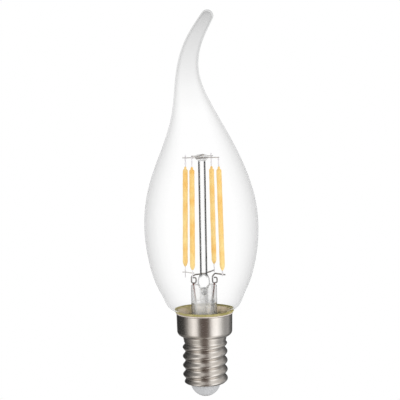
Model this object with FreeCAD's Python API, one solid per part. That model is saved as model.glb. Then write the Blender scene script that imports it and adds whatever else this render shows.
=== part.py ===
import FreeCAD, Part
import math
import os

V = FreeCAD.Vector

# A clear candle bulb with a bent glass tip and four light sticks, on a small screw cap.
# Millimetres, +Z up along the cap's axis. The origin is the lowest point of the centre
# contact. The glass tip ends towards +X and the front of the bulb is -Y.

# screw cap, drawn and rolled from one nickel-plated brass sheet
SHEET = 0.25
THREAD_MAJOR = 13.89
THREAD_MINOR = 12.29
THREAD_PITCH = 2.822
THREAD_LENGTH = 12.75
THREAD_START = -1.69
THREAD_STEPS = 20
FOOT_CORNER = 0.9
BAND_DIAMETER = 13.6
BAND_LENGTH = 1.88
SKIRT_DIAMETER = 17.1
SKIRT_FLARE = 0.1
SKIRT_LENGTH = 7.35
SKIRT_CORNER = 1.6
# half of the thread's section, from its crest: along as a share of the pitch, out as one of the depth
THREAD_SECTION = ((0.0, 1.0), (0.1, 0.9), (0.24, 0.46), (0.4, -0.24))

# foot of the cap: a pale insulator with the centre contact riveted in its middle
NUB_RADIUS = 4.7
NUB_HEIGHT = 4.35
CONTACT_FLAT = 0.8
CONTACT_RADIUS = 2.6
CONTACT_DISC = 0.6
SHANK_RADIUS = 1.0
SHANK_LENGTH = 2.0
WIRE_HOLE = 0.35
INSULATOR_FLANGE = 1.4
INSULATOR_RIM = 1.3
INSULATOR_FLOOR = 1.2
INSULATOR_EDGE = 0.2
CUP_SLOPE = 0.8
FIT = 0.05

# blown glass envelope; each rise is from the place before it, the first from the cap's rim
GLASS_WALL = 0.6
GLASS_CLEARANCE = 0.3
NECK_INSET = 2.15
NECK_DROP = 4.4
WAIST_OUT = 1.85
WAIST_RISE = 1.15
SHOULDER_RADIUS = 12.15
SHOULDER_RISE = 3.1
HAUNCH_RADIUS = 14.0
HAUNCH_RISE = 3.9
HIP_RADIUS = 15.8
HIP_RISE = 5.3
BELLY_RADIUS = 17.5
BELLY_RISE = 12.2
CHEST_RADIUS = 16.15
CHEST_RISE = 11.8
THROAT_RADIUS = 11.8
THROAT_RISE = 12.0
STALK_RADIUS = 6.6
STALK_RISE = 12.0
CROOK_RADIUS = 3.55
CROOK_RISE = 12.0
TAIL_RADIUS = 2.5
TAIL_RISE = 9.9
TIP_RADIUS = 1.9
TIP_RISE = 7.2
TIP_SOLID = 2.6
DOME_STEPS = 3
DOME_END = 84

# sideways shift of the glass at the places above: it leans a little, then bends
WAIST_SHIFT = -0.02
SHOULDER_SHIFT = -0.1
HAUNCH_SHIFT = -0.2
HIP_SHIFT = -0.32
BELLY_SHIFT = -0.46
CHEST_SHIFT = -0.68
THROAT_SHIFT = -1.15
STALK_SHIFT = -2.5
CROOK_SHIFT = -3.85
TAIL_SHIFT = -1.65
TIP_SHIFT = 2.4

# cement bead round the glass
BEAD_OUT = 0.45
BEAD_UP = 0.7

# glass stem: a flared tube pinched flat on the leads; heights are above the rim
STEM_RADIUS = 4.0
STEM_WALL = 0.8
FLANGE_THICKNESS = 0.7
FLARE_HEIGHT = 4.5
FLARE_MIDDLE_OUT = 0.3
FLARE_MIDDLE_UP = 0.4
PRESS_TOP = 8.5
PRESS_HEIGHT = 4.9
PRESS_THICKNESS = 3.0
PRESS_ROUND = 0.5
PINCH_LENGTH = 2.4
EXHAUST_RADIUS = 1.3
EXHAUST_WALL = 0.45
EXHAUST_TOP = 6.9
EXHAUST_TIP = -9.0
EXHAUST_PLUG = 1.6
EXHAUST_HOLE = 0.8

# glass column on the press, with its swollen foot and the button that holds the top wires
COLUMN_RADIUS = 1.15
COLUMN_FOOT_RADIUS = 1.85
COLUMN_FOOT_HEIGHT = 4.6
COLUMN_SINK = 1.5
BUTTON_RADIUS = 2.0
BUTTON_HEIGHT = 2.1
BUTTON_DROP = 0.95

# four light sticks at the corners of a square, turned a little and spread at the foot
STICK_NAMES = ("front_right", "back_right", "back_left", "front_left")
STICK_RADIUS = 0.8
STICK_END_RADIUS = 0.35
STICK_NOSE_RADIUS = 0.69
STICK_TAPER = 2.0
STICK_LENGTH = 30.9
STICK_FOOT = 14.0
STICK_CIRCLE_TOP = 5.93
STICK_CIRCLE_FOOT = 6.61
STICK_TURN = -30.6
PIN_WIDTH = 0.4
PIN_THICKNESS = 0.2
PIN_ABOVE_TOP_WIRE = 0.9
PIN_BELOW_FOOT_WIRE = 0.4
LONG_PIN_BELOW = 1.7
BACK_STICKS = ("back_right", "back_left")
JUMPER_STICKS = ("back_left", "front_left")

# wires inside the glass; an arm's places are level ones, and it sags a little before its last run
TOP_WIRE = 0.4
TOP_WIRE_RISE = 2.7
TOP_WIRE_STEP = 0.5
WIRE_OVERHANG = 1.0
FOOT_WIRE_DROP = 2.1
JUMPER_RISE = 0.8
LEAD = 0.45
LEAD_SPACING = 6.5
LEAD_SPACING_BELOW = 5.2
SEAL_WIRE = 0.45
SEAL_STAND = 0.2
EYELET_IN = 0.56
EYELET_OUT = 0.84
EYELET_HEIGHT = 1.6
EYELET_BACK = 0.36
EYELET_FRONT = 0.27
BEND_RADIUS = 0.5
ARM_OVERHANG = 0.7
ARM_SAG = 0.5
LEFT_ARM = ((-2.6, 1.0), (-0.5, 2.5))
ARM_STARTS = {"front_right": (3.2, -0.75), "back_right": (2.4, 3.4)}

# leads from the press down to the driver board
OUTER_LEAD = 0.35
LEAD_KNEE_OUT = 2.34
LEAD_KNEE_ASIDE = 1.25
LEAD_KNEE_DROP = 3.0
LEAD_ANKLE_DROP = 2.0
LANE_CLEARANCE = 0.1
PAD_OUT = 1.6
PAD_APPROACH = 1.4
PAD_BEND = 0.5
PAD_LAP = 1.0

# driver inside the thread; the heights are above the board's foot
SLEEVE_WALL = 0.2
SLEEVE_LENGTH = 9.6
BOARD_THICKNESS = 0.8
BOARD_HEIGHT = 9.6
LEG_WIDTH = 0.5
LEG_THICKNESS = 0.2
LEG_REACH = 0.45
PACKAGE_EDGE = 0.2
RECTIFIER_WIDTH = 3.7
RECTIFIER_DEPTH = 1.5
RECTIFIER_TALL = 3.8
RECTIFIER_LEGS = 2
RECTIFIER_HEIGHT = 6.4
LEFT_PART = -2.6
CHIP_WIDTH = 2.4
CHIP_DEPTH = 1.1
CHIP_TALL = 1.9
CHIP_LEGS = 3
CHIP_HEIGHT = 7.2
RIGHT_PART = 2.4
SENSE_WIDTH = 1.6
SENSE_DEPTH = 0.5
SENSE_TALL = 0.8
SENSE_GAP = 0.4
SENSE_HEIGHT = 4.9
CAPACITOR_RADIUS = 2.0
CAPACITOR_LENGTH = 7.0
CAPACITOR_STAND = 0.3
CAPACITOR_LEAD = 0.4
CAPACITOR_LEAD_OUT = 0.9
CAPACITOR_LOOP = 0.6
RESISTOR_RADIUS = 0.95
RESISTOR_LENGTH = 2.8
RESISTOR_STAND = 0.8
RESISTOR_LEAD = 0.5
RESISTOR_BEND_DROP = 0.6
RESISTOR_LOOP = 0.4
CAN_EDGE = 0.3
SHELL_WIRE = 0.4
SHELL_WIRE_OUT = 4.0
SHELL_WIRE_LAP = 2.0

# heights and sizes that follow from the values above
FOOT = NUB_HEIGHT
NUB_CENTRE = math.sqrt(NUB_RADIUS ** 2 - CONTACT_FLAT ** 2)
NUB_EDGE = math.sqrt(NUB_RADIUS ** 2 - (NUB_CENTRE - NUB_HEIGHT) ** 2)
BAND_FOOT = FOOT + THREAD_LENGTH
STEP = BAND_FOOT + BAND_LENGTH
RIM = STEP + SKIRT_LENGTH
BORE = THREAD_MINOR / 2 - SHEET
GLASS_AT_RIM = SKIRT_DIAMETER / 2 + SKIRT_FLARE - SHEET - GLASS_CLEARANCE
NECK_RADIUS = SKIRT_DIAMETER / 2 - NECK_INSET
CONTACT_SHELF = NUB_CENTRE - math.sqrt(NUB_RADIUS ** 2 - CONTACT_RADIUS ** 2) + CONTACT_DISC
FLANGE_TOP = FOOT + SHEET + INSULATOR_FLANGE
SEAT = STEP + SHEET + FIT
NECK_FOOT = SEAT + FLANGE_THICKNESS
PRESS_END = RIM + PRESS_TOP
PINCH_TOP = PRESS_END - PRESS_HEIGHT
COLUMN_FOOT = PRESS_END - COLUMN_SINK
TOP_WIRE_HEIGHT = RIM + STICK_FOOT + STICK_LENGTH + TOP_WIRE_RISE
FOOT_WIRE_HEIGHT = RIM + STICK_FOOT - FOOT_WIRE_DROP
BUTTON_FOOT = TOP_WIRE_HEIGHT - BUTTON_DROP
BOARD_TOP = FLANGE_TOP + BOARD_HEIGHT
BOARD_FACE = BOARD_THICKNESS / 2


def line(start, end):
    return Part.makeLine(V(*start), V(*end))


def lathe(edges):
    """Turn a closed outline in the XZ plane about the Z axis."""
    return Part.Face(Part.Wire(edges)).revolve(V(0, 0, 0), V(0, 0, 1), 360)


def outline(*steps):
    """Edges through points (radius, height); a step of four numbers is an arc's middle and end."""
    edges = []
    here = steps[0]
    for step in list(steps[1:]) + [steps[0]]:
        if len(step) == 4:
            middle, end = step[:2], step[2:]
            arc = Part.Arc(V(here[0], 0, here[1]), V(middle[0], 0, middle[1]), V(end[0], 0, end[1]))
            edges.append(arc.toShape())
        else:
            end = step
            if math.dist(here, end) > 1e-7:
                edges.append(line((here[0], 0, here[1]), (end[0], 0, end[1])))
        here = end
    return edges


def corner_arc(centre, radius, start, end):
    """Middle and end of an arc about (radius, height), from one angle to another in degrees."""
    middle, last = math.radians((start + end) / 2), math.radians(end)
    return (centre[0] + radius * math.cos(middle), centre[1] + radius * math.sin(middle),
            centre[0] + radius * math.cos(last), centre[1] + radius * math.sin(last))


def rod(start, end, radius):
    start, end = V(*start), V(*end)
    return Part.makeCylinder(radius, (end - start).Length, start, end - start)


def rounded_can(radius, length, foot):
    """An upright cylinder with both its ends rounded."""
    can = Part.makeCylinder(radius, length, V(*foot))
    return can.makeFillet(CAN_EDGE, [edge for edge in can.Edges if edge.isClosed()])


def bent_wire(points, diameter, bend=BEND_RADIUS):
    """A round wire through the points, with each corner rounded by a tangent arc."""
    points = [V(*p) for p in points]
    edges = []
    here = points[0]
    for before, corner, after in zip(points, points[1:], points[2:]):
        inward, outward = (corner - before).normalize(), (after - corner).normalize()
        turn = inward.getAngle(outward)
        reach = bend * math.tan(turn / 2)
        reach = min(reach, 0.45 * (corner - before).Length, 0.45 * (after - corner).Length)
        first, last = corner - inward * reach, corner + outward * reach
        radius = reach / math.tan(turn / 2)
        towards = (outward - inward).normalize()
        middle = corner + towards * (radius / math.cos(turn / 2) - radius)
        edges.append(Part.makeLine(here, first))
        edges.append(Part.Arc(first, middle, last).toShape())
        here = last
    edges.append(Part.makeLine(here, points[-1]))
    along = points[1] - points[0]
    section = Part.Wire(Part.makeCircle(diameter / 2, points[0], along))
    return Part.Wire(edges).makePipeShell([section], True, False)


# screw cap

def thread_ridge(inset):
    """The rolled thread, moved in by inset: one rounded ridge that climbs round the shell."""
    root, depth = THREAD_MINOR / 2 - inset, (THREAD_MAJOR - THREAD_MINOR) / 2
    rows = [(-share, rise) for share, rise in reversed(THREAD_SECTION[1:])] + list(THREAD_SECTION)
    turns = (THREAD_LENGTH + BAND_LENGTH / 2 - THREAD_START) / THREAD_PITCH
    sections = []
    for i in range(int(turns * THREAD_STEPS) + 1):
        turn = i / THREAD_STEPS
        height = FOOT + THREAD_START + THREAD_PITCH * turn
        corners = [V(root + rise * depth, 0, height + share * THREAD_PITCH) for share, rise in rows]
        section = Part.makePolygon(corners + corners[:1])
        section.rotate(V(0, 0, 0), V(0, 0, 1), 360 * turn)
        sections.append(section)
    return Part.makeLoft(sections, True, True)


def threaded_form(inset):
    """The threaded length as if it were solid, moved in by inset, with its rounded foot."""
    foot = FOOT + inset
    core = Part.makeCylinder(THREAD_MINOR / 2 - inset, BAND_FOOT + SHEET - foot, V(0, 0, foot))
    corner = (THREAD_MAJOR / 2 - FOOT_CORNER, FOOT + FOOT_CORNER)
    room = lathe(outline((0, foot), (corner[0], foot), corner_arc(corner, FOOT_CORNER - inset, -90, 0),
                         (THREAD_MAJOR / 2 - inset, BAND_FOOT), (0, BAND_FOOT)))
    return core.fuse(thread_ridge(inset)).common(room)


def skirt_form(inset):
    """The band and the skirt above the thread as if they were solid, moved in by inset."""
    band, skirt = BAND_DIAMETER / 2 - inset, SKIRT_DIAMETER / 2 - inset
    corner = (SKIRT_DIAMETER / 2 - SKIRT_CORNER, STEP + SKIRT_CORNER)
    return lathe(outline((0, BAND_FOOT + inset), (band, BAND_FOOT + inset), (band, STEP + inset),
                         (corner[0], STEP + inset), corner_arc(corner, SKIRT_CORNER - inset, -90, 0),
                         (skirt + SKIRT_FLARE, RIM), (0, RIM)))


def screw_shell():
    outside = threaded_form(0).fuse(skirt_form(0))
    inside = threaded_form(SHEET).fuse(skirt_form(SHEET))
    passage = Part.makeCylinder(BORE, 2 * SHEET, V(0, 0, BAND_FOOT - SHEET / 2))
    foot_hole = Part.makeCylinder(NUB_RADIUS + FIT, 2 * SHEET, V(0, 0, FOOT - SHEET / 2))
    return outside.cut([inside, passage, foot_hole])


def nub_height(radius):
    """Height of the nub's round surface at a distance from the axis."""
    return NUB_CENTRE - math.sqrt(NUB_RADIUS ** 2 - radius ** 2)


def nub_arc(start, end):
    middle = (start + end) / 2
    return (middle, nub_height(middle), end, nub_height(end))


def insulator():
    """A moulded cup that sits in the shell's foot, with the round nub below it."""
    shoulder = BORE - FIT
    cup = NUB_RADIUS - INSULATOR_RIM
    floor = CONTACT_SHELF + INSULATOR_FLOOR
    return lathe(outline((SHANK_RADIUS, CONTACT_SHELF), (CONTACT_RADIUS, CONTACT_SHELF),
                         (CONTACT_RADIUS, nub_height(CONTACT_RADIUS)),
                         nub_arc(CONTACT_RADIUS, NUB_EDGE), (NUB_EDGE, FOOT + SHEET),
                         (shoulder - INSULATOR_EDGE, FOOT + SHEET),
                         (shoulder, FOOT + SHEET + INSULATOR_EDGE),
                         (shoulder, FLANGE_TOP), (cup, FLANGE_TOP),
                         (cup, floor + CUP_SLOPE), (cup - CUP_SLOPE, floor), (SHANK_RADIUS, floor)))


def centre_contact():
    """A turned contact: a domed disc below and a hollow shank above that takes the wire."""
    top = CONTACT_SHELF + SHANK_LENGTH
    return lathe(outline((0, 0), (CONTACT_FLAT, 0), nub_arc(CONTACT_FLAT, CONTACT_RADIUS),
                         (CONTACT_RADIUS, CONTACT_SHELF), (SHANK_RADIUS, CONTACT_SHELF), (SHANK_RADIUS, top),
                         (WIRE_HOLE, top), (WIRE_HOLE, CONTACT_SHELF), (0, CONTACT_SHELF)))


# glass envelope

def glass_stations():
    """Height, sideways shift and radius where the glass's outline is set."""
    stations = [(NECK_FOOT, 0, NECK_RADIUS), (RIM - NECK_DROP, 0, NECK_RADIUS), (RIM, 0, GLASS_AT_RIM)]
    height = RIM
    for rise, shift, radius in ((WAIST_RISE, WAIST_SHIFT, GLASS_AT_RIM + WAIST_OUT),
                                (SHOULDER_RISE, SHOULDER_SHIFT, SHOULDER_RADIUS),
                                (HAUNCH_RISE, HAUNCH_SHIFT, HAUNCH_RADIUS),
                                (HIP_RISE, HIP_SHIFT, HIP_RADIUS),
                                (BELLY_RISE, BELLY_SHIFT, BELLY_RADIUS),
                                (CHEST_RISE, CHEST_SHIFT, CHEST_RADIUS),
                                (THROAT_RISE, THROAT_SHIFT, THROAT_RADIUS),
                                (STALK_RISE, STALK_SHIFT, STALK_RADIUS),
                                (CROOK_RISE, CROOK_SHIFT, CROOK_RADIUS),
                                (TAIL_RISE, TAIL_SHIFT, TAIL_RADIUS),
                                (TIP_RISE, TIP_SHIFT, TIP_RADIUS)):
        height += rise
        stations.append((height, shift, radius))
    return stations


def glass_curves():
    """Smooth curves through the stations: the centreline, and the radius against height."""
    stations = glass_stations()
    heights = [station[0] for station in stations]
    centre, size = Part.BSplineCurve(), Part.BSplineCurve()
    centre.interpolate(Points=[V(s[1], 0, s[0]) for s in stations], Parameters=heights)
    size.interpolate(Points=[V(s[2], 0, s[0]) for s in stations], Parameters=heights)
    return centre, size


def glass_form(inset, shorter):
    """The envelope's form as a solid, moved in by inset, with a round end that much below the tip's."""
    centre, size = glass_curves()
    heights = [station[0] for station in glass_stations()]
    heights[-1] -= shorter
    top = heights[-1]

    def radius_at(height):
        slope = size.tangent(height)[0]
        return size.value(height).x - inset * math.hypot(1, slope.x / slope.z)

    sections = []
    for height in heights:
        along = V(0, 0, 1) if height < RIM else centre.tangent(height)[0]
        sections.append(Part.Wire(Part.makeCircle(radius_at(height), centre.value(height), along)))
    end, along, radius = centre.value(top), centre.tangent(top)[0], radius_at(top)
    for i in range(1, DOME_STEPS + 1):
        angle = math.radians(DOME_END * i / DOME_STEPS)
        circle = Part.makeCircle(radius * math.cos(angle), end + along * (radius * math.sin(angle)), along)
        sections.append(Part.Wire(circle))
    return Part.makeLoft(sections, True, False)


def glass_envelope(outer):
    return outer.cut(glass_form(GLASS_WALL, TIP_SOLID))


def cement_ring(outer):
    """Cement between the neck and the skirt, with a small bead over the rim."""
    skirt, edge = SKIRT_DIAMETER / 2 - SHEET, SKIRT_DIAMETER / 2 + SKIRT_FLARE
    corner = (SKIRT_DIAMETER / 2 - SKIRT_CORNER, STEP + SKIRT_CORNER)
    inside = NECK_RADIUS - GLASS_WALL / 2
    block = lathe(outline((inside, SEAT), (corner[0], STEP + SHEET),
                          corner_arc(corner, SKIRT_CORNER - SHEET, -90, 0),
                          (skirt + SKIRT_FLARE, RIM), (edge, RIM),
                          (edge + BEAD_OUT, RIM + BEAD_UP / 2, edge + BEAD_OUT / 2, RIM + BEAD_UP),
                          (inside, RIM + BEAD_UP)))
    return block.cut([outer, stem_flange()])


# glass stem

def racetrack(length, width, height):
    """A flat-sided loop with round ends, as four edges that match a circle in quarters."""
    half, end = length / 2 - width / 2, width / 2
    corners = [V(half, end, height), V(-half, end, height), V(-half, -end, height), V(half, -end, height)]
    right = Part.Arc(corners[3], V(half + end, 0, height), corners[0]).toShape()
    left = Part.Arc(corners[1], V(-half - end, 0, height), corners[2]).toShape()
    back, front = Part.makeLine(corners[0], corners[1]), Part.makeLine(corners[2], corners[3])
    return Part.Wire([right, back, left, front])


def quartered_circle(radius, height):
    corner = radius / math.sqrt(2)
    points = [V(corner, -corner, height), V(corner, corner, height),
              V(-corner, corner, height), V(-corner, -corner, height)]
    middles = [V(radius, 0, height), V(0, radius, height), V(-radius, 0, height), V(0, -radius, height)]
    edges = [Part.Arc(points[i], middles[i], points[(i + 1) % 4]).toShape() for i in range(4)]
    return Part.Wire(edges)


def stem_flange():
    """The flat rim that the neck's end is melted to."""
    return Part.makeCylinder(NECK_RADIUS, FLANGE_THICKNESS, V(0, 0, SEAT))


def stem_form(inset, foot):
    """The flared tube and its pinched top, moved in by inset, from a height up."""
    radius = STEM_RADIUS - inset
    flare = NECK_RADIUS - GLASS_WALL - STEM_RADIUS
    flare_top = NECK_FOOT + FLARE_HEIGHT
    pinch_foot = PINCH_TOP - PINCH_LENGTH
    tube = lathe(outline((0, foot), (radius + flare, foot),
                         (radius + FLARE_MIDDLE_OUT * flare, foot + FLARE_MIDDLE_UP * (flare_top - foot),
                          radius, flare_top),
                         (radius, pinch_foot), (0, pinch_foot)))
    pinch = Part.makeLoft([quartered_circle(radius, pinch_foot),
                           racetrack(2 * radius, PRESS_THICKNESS - 2 * inset, PINCH_TOP)], True, True)
    return tube.fuse(pinch)


def glass_stem(cutters):
    """The stem with its flat press, the hole in its flank and the room for what it is melted round."""
    press = Part.Face(racetrack(2 * STEM_RADIUS, PRESS_THICKNESS, PINCH_TOP)).extrude(V(0, 0, PRESS_HEIGHT))
    top_edges = [edge for edge in press.Edges if edge.BoundBox.ZMin > PINCH_TOP + PRESS_HEIGHT / 2]
    press = press.makeFillet(PRESS_ROUND, top_edges)
    stem = stem_flange().fuse([stem_form(0, NECK_FOOT), press]).cut(stem_form(STEM_WALL, SEAT))
    mouth_height = RIM + EXHAUST_TOP - EXHAUST_HOLE
    mouth = rod((0, 0, mouth_height), (0, -PRESS_THICKNESS, mouth_height), EXHAUST_HOLE)
    return stem.cut(cutters + [mouth])


def exhaust_tube():
    """The pumping tube, melted shut at its lower end."""
    top, tip = RIM + EXHAUST_TOP, RIM + EXHAUST_TIP
    bore = EXHAUST_RADIUS - EXHAUST_WALL
    return lathe(outline((0, tip), corner_arc((0, tip + EXHAUST_RADIUS), EXHAUST_RADIUS, -90, 0),
                         (EXHAUST_RADIUS, top), (bore, top), (bore, tip + EXHAUST_PLUG + bore),
                         (0, tip + EXHAUST_PLUG)))


def glass_column(cutters):
    """The rod that carries the top wires, with its swollen foot and the button on top."""
    swell_top = COLUMN_FOOT + COLUMN_FOOT_HEIGHT
    swell_middle = COLUMN_FOOT + COLUMN_FOOT_HEIGHT / 2
    button_middle = BUTTON_FOOT + BUTTON_HEIGHT / 2
    button_top = BUTTON_FOOT + BUTTON_HEIGHT
    column = lathe(outline((0, COLUMN_FOOT), (COLUMN_RADIUS, COLUMN_FOOT),
                           (COLUMN_FOOT_RADIUS, swell_middle, COLUMN_RADIUS, swell_top),
                           (COLUMN_RADIUS, BUTTON_FOOT),
                           (BUTTON_RADIUS, button_middle, COLUMN_RADIUS, button_top), (0, button_top)))
    return column.cut(cutters) if cutters else column


# light sticks and their pins

def stick_angle(index):
    return STICK_TURN + 360 * index / len(STICK_NAMES)


def stick_place(index, height):
    """Where a stick's axis is at a height: the sticks lean out a little towards the foot."""
    share = (height - RIM - STICK_FOOT) / STICK_LENGTH
    reach = STICK_CIRCLE_FOOT + share * (STICK_CIRCLE_TOP - STICK_CIRCLE_FOOT)
    angle = math.radians(stick_angle(index))
    return V(reach * math.cos(angle), reach * math.sin(angle), height)


def on_stick(shape, index, twist=0):
    """Place a shape made about the Z axis, with its foot at zero, on a stick's axis."""
    foot, top = stick_place(index, RIM + STICK_FOOT), stick_place(index, RIM + STICK_FOOT + STICK_LENGTH)
    lean = FreeCAD.Rotation(V(0, 0, 1), top - foot)
    turn = FreeCAD.Rotation(V(0, 0, 1), stick_angle(index) + twist)
    shape.Placement = FreeCAD.Placement(foot, lean.multiply(turn))
    return shape


def light_stick(index):
    """A stick of coated light chips, with a rounded taper at each end."""
    top, nose = STICK_LENGTH, STICK_TAPER / 2
    stick = lathe(outline((0, 0), (STICK_END_RADIUS, 0),
                          (STICK_NOSE_RADIUS, nose, STICK_RADIUS, STICK_TAPER),
                          (STICK_RADIUS, top - STICK_TAPER),
                          (STICK_NOSE_RADIUS, top - nose, STICK_END_RADIUS, top), (0, top)))
    return on_stick(stick, index)


def pin(index, low, high, twist=0):
    """A flat pin between two heights along a stick's axis."""
    strip = Part.makeBox(PIN_WIDTH, PIN_THICKNESS, high - low, V(-PIN_WIDTH / 2, -PIN_THICKNESS / 2, low))
    return on_stick(strip, index, twist)


def top_pin(index):
    wire = TOP_WIRE_RISE + TOP_WIRE_STEP * (index % 2)
    above = PIN_ABOVE_TOP_WIRE if STICK_NAMES[index] in BACK_STICKS else TOP_WIRE / 2
    return pin(index, STICK_LENGTH, STICK_LENGTH + wire + above)


def foot_pin(index):
    below = LONG_PIN_BELOW if STICK_NAMES[index] == JUMPER_STICKS[0] else PIN_BELOW_FOOT_WIRE
    return pin(index, -FOOT_WIRE_DROP - below, 0, foot_wire_angle(index) - stick_angle(index))


# wires inside the glass

def turned(angle, length):
    """A level step of a length at an angle in degrees."""
    return V(math.cos(math.radians(angle)), math.sin(math.radians(angle)), 0) * length


def top_wire(index):
    """A straight wire through the button that joins two opposite sticks."""
    height = TOP_WIRE_HEIGHT + TOP_WIRE_STEP * (index % 2)
    aside = turned(stick_angle(index) + 90, (TOP_WIRE + PIN_THICKNESS) / 2)
    first, last = stick_place(index, height), stick_place(index + len(STICK_NAMES) // 2, height)
    along = (last - first).normalize()
    return rod(first + aside - along * WIRE_OVERHANG, last + aside + along * WIRE_OVERHANG, TOP_WIRE / 2)


def foot_wire_start(index):
    """Where the wire that reaches a stick's foot pin sets off on its last straight run."""
    if STICK_NAMES[index] in JUMPER_STICKS:
        return stick_place(STICK_NAMES.index(JUMPER_STICKS[0]), FOOT_WIRE_HEIGHT)
    return V(*ARM_STARTS[STICK_NAMES[index]], FOOT_WIRE_HEIGHT)


def foot_wire_angle(index):
    if STICK_NAMES[index] == JUMPER_STICKS[0]:
        return foot_wire_angle(STICK_NAMES.index(JUMPER_STICKS[1]))
    run = stick_place(index, FOOT_WIRE_HEIGHT) - foot_wire_start(index)
    return math.degrees(math.atan2(run.y, run.x))


def foot_run(index, diameter, overhang, rise=0):
    """Start and end of a straight run that lies against the flat of a foot pin."""
    angle = foot_wire_angle(index)
    aside = turned(angle + 90, (diameter + PIN_THICKNESS) / 2)
    end = stick_place(index, FOOT_WIRE_HEIGHT + rise) + turned(angle, overhang)
    return foot_wire_start(index) + aside, end + aside


def jumper_wire():
    """The wire that joins the feet of the two sticks on the left."""
    start, end = foot_run(STICK_NAMES.index(JUMPER_STICKS[1]), TOP_WIRE, PIN_WIDTH, JUMPER_RISE)
    along = (end - start).normalize()
    return rod(start - along * WIRE_OVERHANG, end, TOP_WIRE / 2)


def seal_wire(side):
    """The short copper-clad length that the press is melted round."""
    return rod((side * LEAD_SPACING_BELOW / 2, 0, PINCH_TOP),
               (side * LEAD_SPACING / 2, 0, PRESS_END + SEAL_STAND), SEAL_WIRE / 2)


def inner_lead(side, places, index):
    """A lead above the press: an eyelet that stands on the seal wire, then an arm to a foot pin."""
    x, foot = side * LEAD_SPACING / 2, PRESS_END + SEAL_STAND + LEAD / 2
    left, right, top = x - EYELET_IN, x + EYELET_OUT, foot + EYELET_HEIGHT
    start, end = foot_run(index, LEAD, ARM_OVERHANG)
    points = [(left + LEAD, LEAD, top), (right, EYELET_BACK, top), (right, 0, foot), (left, 0, foot),
              (left, -EYELET_FRONT, top + LEAD)]
    points += [(px, py, FOOT_WIRE_HEIGHT - ARM_SAG) for px, py in places]
    return bent_wire(points + [tuple(start), tuple(end)], LEAD)


# leads and driver inside the cap

def outer_lead(side):
    """A lead from the press down past the pumping tube to the driver board."""
    face = BOARD_FACE + OUTER_LEAD / 2
    lane = EXHAUST_RADIUS + OUTER_LEAD + LANE_CLEARANCE
    points = [(side * LEAD_SPACING_BELOW / 2, 0, PINCH_TOP - FIT),
              (side * LEAD_KNEE_OUT, side * LEAD_KNEE_ASIDE, PINCH_TOP - LEAD_KNEE_DROP),
              (side * PAD_OUT, side * lane, RIM - LEAD_ANKLE_DROP),
              (side * PAD_OUT, side * lane, BOARD_TOP + PAD_APPROACH),
              (side * PAD_OUT, side * face, BOARD_TOP + PAD_BEND),
              (side * PAD_OUT, side * face, BOARD_TOP - PAD_LAP)]
    return bent_wire(points, OUTER_LEAD)


def insulating_sleeve():
    """A thin paper tube that keeps the board off the shell."""
    outside = BORE - FIT
    inside = outside - SLEEVE_WALL
    top = FLANGE_TOP + SLEEVE_LENGTH
    return lathe(outline((inside, FLANGE_TOP), (outside, FLANGE_TOP), (outside, top), (inside, top)))


def driver_board():
    inside = BORE - FIT - SLEEVE_WALL
    half = math.sqrt(inside ** 2 - BOARD_FACE ** 2) - FIT
    return Part.makeBox(2 * half, BOARD_THICKNESS, BOARD_HEIGHT, V(-half, -BOARD_FACE, FLANGE_TOP))


def chip_package(wide, deep, tall, x, height, legs):
    """A moulded package on the front of the board, with bent legs on its left and right."""
    height += FLANGE_TOP
    body = Part.makeBox(wide, deep, tall, V(x - wide / 2, -BOARD_FACE - deep, height - tall / 2))
    front = [edge for edge in body.Edges if edge.BoundBox.YMax < -BOARD_FACE - deep / 2]
    body = body.makeChamfer(PACKAGE_EDGE, front)
    for i in range(legs):
        low = height + (i - (legs - 1) / 2) * tall / legs - LEG_WIDTH / 2
        for side in (-1, 1):
            out = x + side * wide / 2
            foot_left = min(out, out + side * LEG_REACH)
            knee_left = min(out, out + side * LEG_THICKNESS)
            foot_corner = V(foot_left, -BOARD_FACE - LEG_THICKNESS, low)
            knee_corner = V(knee_left, -BOARD_FACE - deep / 2, low)
            foot = Part.makeBox(LEG_REACH, LEG_THICKNESS, LEG_WIDTH, foot_corner)
            knee = Part.makeBox(LEG_THICKNESS, deep / 2, LEG_WIDTH, knee_corner)
            body = body.fuse([foot, knee])
    return body


def sense_resistors():
    """Two small chip resistors side by side."""
    pitch = SENSE_WIDTH + SENSE_GAP
    chips = []
    for side in (-1, 1):
        corner = V(RIGHT_PART + side * pitch / 2 - SENSE_WIDTH / 2, -BOARD_FACE - SENSE_DEPTH,
                   FLANGE_TOP + SENSE_HEIGHT - SENSE_TALL / 2)
        chips.append(Part.makeBox(SENSE_WIDTH, SENSE_DEPTH, SENSE_TALL, corner))
    return Part.makeCompound(chips)


def smoothing_capacitor():
    """A can behind the board, with its two leads bent into the board."""
    y, foot = BOARD_FACE + CAPACITOR_RADIUS + FIT, FLANGE_TOP + CAPACITOR_STAND
    inside, top = foot + CAPACITOR_LENGTH - CAN_EDGE, foot + CAPACITOR_LENGTH + CAPACITOR_LOOP
    can = rounded_can(CAPACITOR_RADIUS, CAPACITOR_LENGTH, (0, y, foot))
    leads = []
    for x in (-CAPACITOR_LEAD_OUT, CAPACITOR_LEAD_OUT):
        points = [(x, y, inside), (x, y, top), (x, BOARD_FACE, top)]
        leads.append(bent_wire(points, CAPACITOR_LEAD, CAPACITOR_LEAD))
    return can.fuse(leads)


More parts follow.
